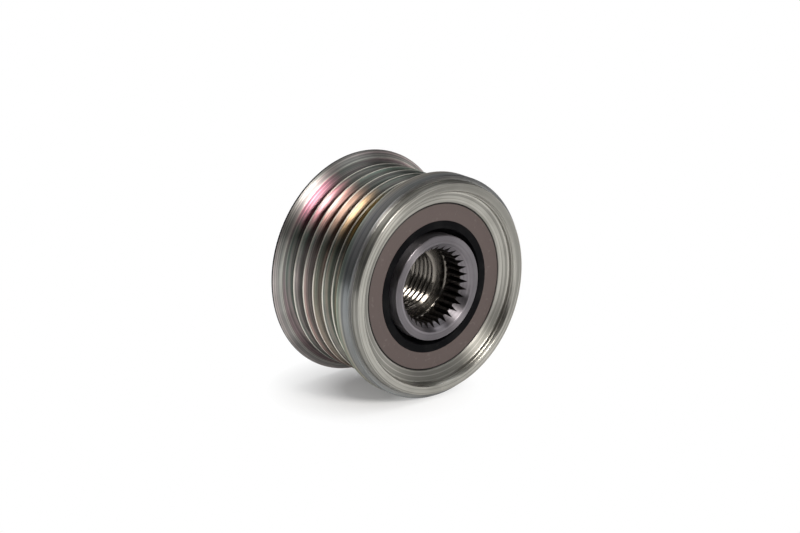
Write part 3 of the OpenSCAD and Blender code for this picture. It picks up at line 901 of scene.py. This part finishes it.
class CLUTCH_OT_hub(bpy.types.Operator):
    """Turn the hub, notch its tool socket and wind its thread"""

    bl_idname = "clutch.hub"
    bl_label = "Splined Hub"

    def execute(self, context):
        s, c = context.scene.clutch_sizes, context.scene.clutch_colours
        piece = turned_piece("splined_hub", hub_section(s), s.small_steps)
        cut_away(piece, socket_cutter(s))
        ridge = thread_ridge(s)
        activate(piece)
        ridge.select_set(True)
        bpy.ops.object.join()
        satin = turned_metal("Phosphated hub steel", c.hub, 0.36, depth=0.006 * MM, anisotropy=0.88)
        bright = turned_metal("Bright turned steel", c.bright, 0.20, rings=6000.0, anisotropy=0.7)
        # The socket walls' dark colour is painted shade
        broached_with_shade = turned_metal("Broached socket walls", c.socket, 0.38, rings=5000.0, anisotropy=0.0)
        finished(piece, "hub", "hub_steel", [satin, bright, broached_with_shade], "hub")
        relief_y = HUB_LOW.y + s.socket_depth
        reach = s.spline_root_r + 0.25 * MM
        rear_y = HUB_HIGH.y - 0.8 * MM
        gap = 0.01 * MM
        refinished(piece, 1, lambda y, radius, slope: relief_y - gap < y < rear_y and radius < reach)
        # The socket walls take the painted shade
        refinished(piece, 2, lambda y, radius, slope: y < relief_y + gap and slope < 0.05 and radius < reach)
        return {"FINISHED"}


class CLUTCH_OT_seals(bpy.types.Operator):
    """Turn the carriers and the rubber of both seals"""

    bl_idname = "clutch.seals"
    bl_label = "Seals"

    def execute(self, context):
        s, c = context.scene.clutch_sizes, context.scene.clutch_colours
        sheet = coated_sheet("Coated seal sheet", c)
        rubber = moulded_rubber("Sealing rubber", c)
        for end, face_y, way in (("front", SEAL_LOW.y, 1), ("rear", REAR_SEAL_HIGH.y, -1)):
            carrier = turned_piece(f"{end}_seal_sheet", carrier_section(s, face_y, way), s.small_steps)
            finished(carrier, "pulley", "seal_plate", [sheet], f"{end}_seal_carrier")
            lip = turned_piece(f"{end}_seal_rubber", lip_section(s, face_y, way), s.small_steps)
            finished(lip, "pulley", "seal_rubber", [rubber], f"{end}_seal_lip")
        return {"FINISHED"}


class CLUTCH_OT_springs(bpy.types.Operator):
    """Fold a spring strip behind each roller, laid along the roller's slide"""

    bl_idname = "clutch.springs"
    bl_label = "Folded Springs"

    def execute(self, context):
        s, c = context.scene.clutch_sizes, context.scene.clutch_colours
        strip = ground_steel("Spring strip", c.spring, 0.3)
        slides = {joint["name"]: Vector(joint["axis"]) for joint in frame["joints"]}
        for k in range(1, ROLLER_COUNT + 1):
            low, high = node_box(f"clutch_roller_{k:02d}")
            middle = (low + high) / 2
            along = slides[f"roller_{k:02d}_slide"].normalized()
            out = Vector((middle.x, 0.0, middle.z))
            out = (out - along * out.dot(along)).normalized()
            face = Vector((middle.x, low.y + s.spring_inset, middle.z))
            points = [face + along * a + out * b for a, b in spring_outline(s)]
            piece = drawn_line(f"clutch_spring_{k:02d}", points)
            drawn_out(high.y - low.y - 2 * s.spring_inset)
            piece.data.materials.append(strip)
            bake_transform(piece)
            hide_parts("clutch_springs")
        return {"FINISHED"}


class CLUTCH_OT_inner_parts(bpy.types.Operator):
    """Give the sealed inner parts their finishes"""

    bl_idname = "clutch.inner_parts"
    bl_label = "Inner Parts"

    def execute(self, context):
        c = context.scene.clutch_colours
        steel = ground_steel("Ground steel", c.ring, 0.22)
        cage = moulded_plastic("Cage moulding", c.cage)
        washer = moulded_plastic("Washer moulding", c.washer)
        for name, node in NODES.items():
            if name.startswith(("pulley", "hub", "front_seal", "rear_seal", "clutch_springs")):
                continue
            made = cage if "cage" in name else washer if "washer" in name else steel
            if not node.material_slots:
                node.data.materials.append(made)
            for slot in node.material_slots:
                slot.material = made
        return {"FINISHED"}


# Stage

# Name, place, width and height, tint, and whether metal mirrors the lamp
LAMPS = (("key", (-0.027, -0.822, 0.489), (0.23, 0.23), (1.0, 0.97, 0.93), True),
         ("top", (0.50, 0.0, 0.80), (0.9, 0.9), (1.0, 1.0, 1.0), False),
         ("left", (-0.80, -0.55, 0.14), (0.5, 0.26), (1.0, 0.98, 0.96), True),
         ("upper", (0.50, -0.45, 0.74), (0.5, 0.3), (0.98, 0.99, 1.0), True),
         ("side", (0.85, -0.25, 0.10), (0.25, 0.4), (1.0, 0.97, 0.93), True))
TENT_R = 1.6
TENT_GAP = 2.0 * MM
# Direction in which the tent grows paler, and where that starts and ends along it
TENT_LEAN = (0.25, 0.75, 0.8)
TENT_START, TENT_END = 0.48, 2.0
FLOOR_SIZE = 6.0
FLOOR_PALE, FLOOR_GREY = (0.86, 0.86, 0.86), (0.80, 0.80, 0.80)
# The floor glows less near this point, so that the part's shadow shows between these distances
SHADOW_MIDDLE = (-0.008, 0.0, 0.0)
SHADOW_NEAR, SHADOW_FAR = 7.0 * MM, 26.0 * MM
# Share of the floor's glow at the middle of the shadow, and the share that metal mirrors
SHADOW_GLOW, MIRRORED_GLOW = 0.15, 0.25


def aimed(thing, place, target=(0.0, 0.0, 0.0)):
    """Puts a lamp or camera at a place, looking at the target."""
    thing.location = place
    thing.rotation_euler = (Vector(target) - Vector(place)).to_track_quat("-Z", "Y").to_euler()


def soft_lamp(name, place, size, watts, tint, mirrored):
    deselect()
    bpy.ops.object.light_add(type="AREA")
    lamp = bpy.context.object
    lamp.name = name
    lamp.data.shape = "RECTANGLE"
    lamp.data.size, lamp.data.size_y = size
    lamp.data.energy = watts
    lamp.data.color = tint
    aimed(lamp, place)
    lamp.visible_glossy = mirrored


def seen_rays(tree, mirrored=1.0):
    """1 for rays from the camera or through glass, and the share given for rays that metal mirrors."""
    path = tree.nodes.new("ShaderNodeLightPath").outputs
    seen = worked("MAXIMUM", path["Is Camera Ray"], times(path["Is Glossy Ray"], mirrored))
    return worked("MAXIMUM", seen, path["Is Transmission Ray"])


def grey_tent(dark, pale):
    """A grey tent round the set that only the metal's reflections see, paler at the back right."""
    deselect()
    bpy.ops.mesh.primitive_uv_sphere_add(segments=48, ring_count=24, radius=TENT_R)
    tent = bpy.context.object
    tent.name = "grey_tent"
    bpy.ops.object.mode_set(mode="EDIT")
    bpy.ops.mesh.select_all(action="SELECT")
    bpy.ops.mesh.bisect(plane_co=(0, 0, CAD_BOX[0][2] + TENT_GAP), plane_no=(0, 0, 1), clear_inner=True)
    bpy.ops.mesh.select_all(action="SELECT")
    bpy.ops.mesh.flip_normals()
    bpy.ops.object.mode_set(mode="OBJECT")
    cloth = bpy.data.materials.new("Grey tent")
    cloth.use_nodes = True
    tree = cloth.node_tree
    tree.nodes.remove(tree.nodes["Principled BSDF"])
    x, y, z = added(tree, "ShaderNodeSeparateXYZ", {0: object_place(tree)}).outputs
    lean_x, lean_y, lean_z = (times(v, share) for v, share in zip((x, y, z), TENT_LEAN))
    shade = ramped(plus(plus(lean_x, lean_y), lean_z), TENT_START, TENT_END, dark, pale)
    glow = added(tree, "ShaderNodeEmission", {"Strength": shade})
    put(tree.nodes["Material Output"].inputs[0], glow.outputs[0])
    tent.data.materials.append(cloth)
    tent.visible_camera = False
    tent.visible_diffuse = False
    tent.visible_shadow = False


def floor_material():
    """Pale paper that glows for the camera, less where the part's shadow falls."""
    paper, shader, handling = started_material("Pale floor", 60.0)
    tree = paper.node_tree
    put(shader["Base Color"], mixed(times(handling["Grain"], 0.04), FLOOR_PALE, FLOOR_GREY))
    put(shader["Roughness"], 0.9)
    away = added(tree, "ShaderNodeVectorMath", {0: object_place(tree)}, operation="DISTANCE")
    away.inputs[1].default_value = SHADOW_MIDDLE
    fade = ramped(away.outputs["Value"], SHADOW_NEAR, SHADOW_FAR, SHADOW_GLOW, 1.0)
    white = added(tree, "ShaderNodeEmission", {"Strength": 1.0})
    both = added(tree, "ShaderNodeMixShader", {0: times(seen_rays(tree, MIRRORED_GLOW), fade),
                                               1: tree.nodes["Principled BSDF"].outputs[0],
                                               2: white.outputs[0]})
    put(tree.nodes["Material Output"].inputs[0], both.outputs[0])
    return paper


class CLUTCH_OT_stage(bpy.types.Operator):
    """Set the floor, the light and the camera"""

    bl_idname = "clutch.stage"
    bl_label = "Stage"

    def execute(self, context):
        p = context.scene.clutch_stage
        deselect()
        bpy.ops.mesh.primitive_grid_add(x_subdivisions=8, y_subdivisions=8, size=FLOOR_SIZE,
                                        location=(0, 0, CAD_BOX[0][2]))
        floor = context.object
        floor.name = "floor"
        floor.data.materials.append(floor_material())

        world = bpy.data.worlds.new("Studio")
        context.scene.world = world
        world.use_nodes = True
        air = world.node_tree.nodes["Background"].inputs
        put(air["Color"], (1.0, 1.0, 1.0))
        seen = times(seen_rays(world.node_tree), 1.0 - p.world_level)
        put(air["Strength"], plus(seen, p.world_level))

        grey_tent(p.tent_dark, p.tent_pale)
        for name, place, size, tint, mirrored in LAMPS:
            soft_lamp(f"{name}_lamp", place, size, getattr(p, f"{name}_power"), tint, mirrored)

        deselect()
        bpy.ops.object.camera_add()
        camera = context.object
        camera.name = "camera"
        camera.data.lens = p.lens
        camera.data.sensor_width = 36.0
        camera.data.shift_y = p.shift
        camera.data.clip_start = 0.01
        target = Vector((0.0, p.target_y, 0.0))
        back = Vector((math.sin(p.azimuth) * math.cos(p.elevation),
                       -math.cos(p.azimuth) * math.cos(p.elevation), math.sin(p.elevation)))
        aimed(camera, target + back * p.distance, target)
        context.scene.camera = camera
        context.scene.view_settings.view_transform = "Standard"
        return {"FINISHED"}


class CLUTCH_PT_panel(bpy.types.Panel):
    """Sizes, colours and steps of the clutch"""

    bl_idname = "CLUTCH_PT_panel"
    bl_label = "Freewheel Clutch"
    bl_space_type = "VIEW_3D"
    bl_region_type = "UI"
    bl_category = "Clutch"

    def draw(self, context):
        for name, group in GROUPS.items():
            box = self.layout.box()
            box.label(text=name.split("_")[1].title())
            for key in group.__annotations__:
                box.prop(getattr(context.scene, name), key)
        for step in STEPS:
            self.layout.operator(step.bl_idname)


STEPS = (CLUTCH_OT_pulley, CLUTCH_OT_hub, CLUTCH_OT_seals, CLUTCH_OT_springs,
         CLUTCH_OT_inner_parts, CLUTCH_OT_stage)
GROUPS = {"clutch_sizes": ClutchSizes, "clutch_colours": ClutchColours, "clutch_stage": ClutchStage}


def register():
    for group in GROUPS.values():
        bpy.utils.register_class(group)
    for name, group in GROUPS.items():
        setattr(bpy.types.Scene, name, bpy.props.PointerProperty(type=group))
    for step in STEPS:
        bpy.utils.register_class(step)
    bpy.utils.register_class(CLUTCH_PT_panel)


def unregister():
    bpy.utils.unregister_class(CLUTCH_PT_panel)
    for step in reversed(STEPS):
        bpy.utils.unregister_class(step)
    for name, group in GROUPS.items():
        delattr(bpy.types.Scene, name)
        bpy.utils.unregister_class(group)


def main():
    register()
    bpy.ops.clutch.pulley()
    bpy.ops.clutch.hub()
    bpy.ops.clutch.seals()
    bpy.ops.clutch.springs()
    bpy.ops.clutch.inner_parts()
    bpy.ops.clutch.stage()


if __name__ == "__main__":
    main()
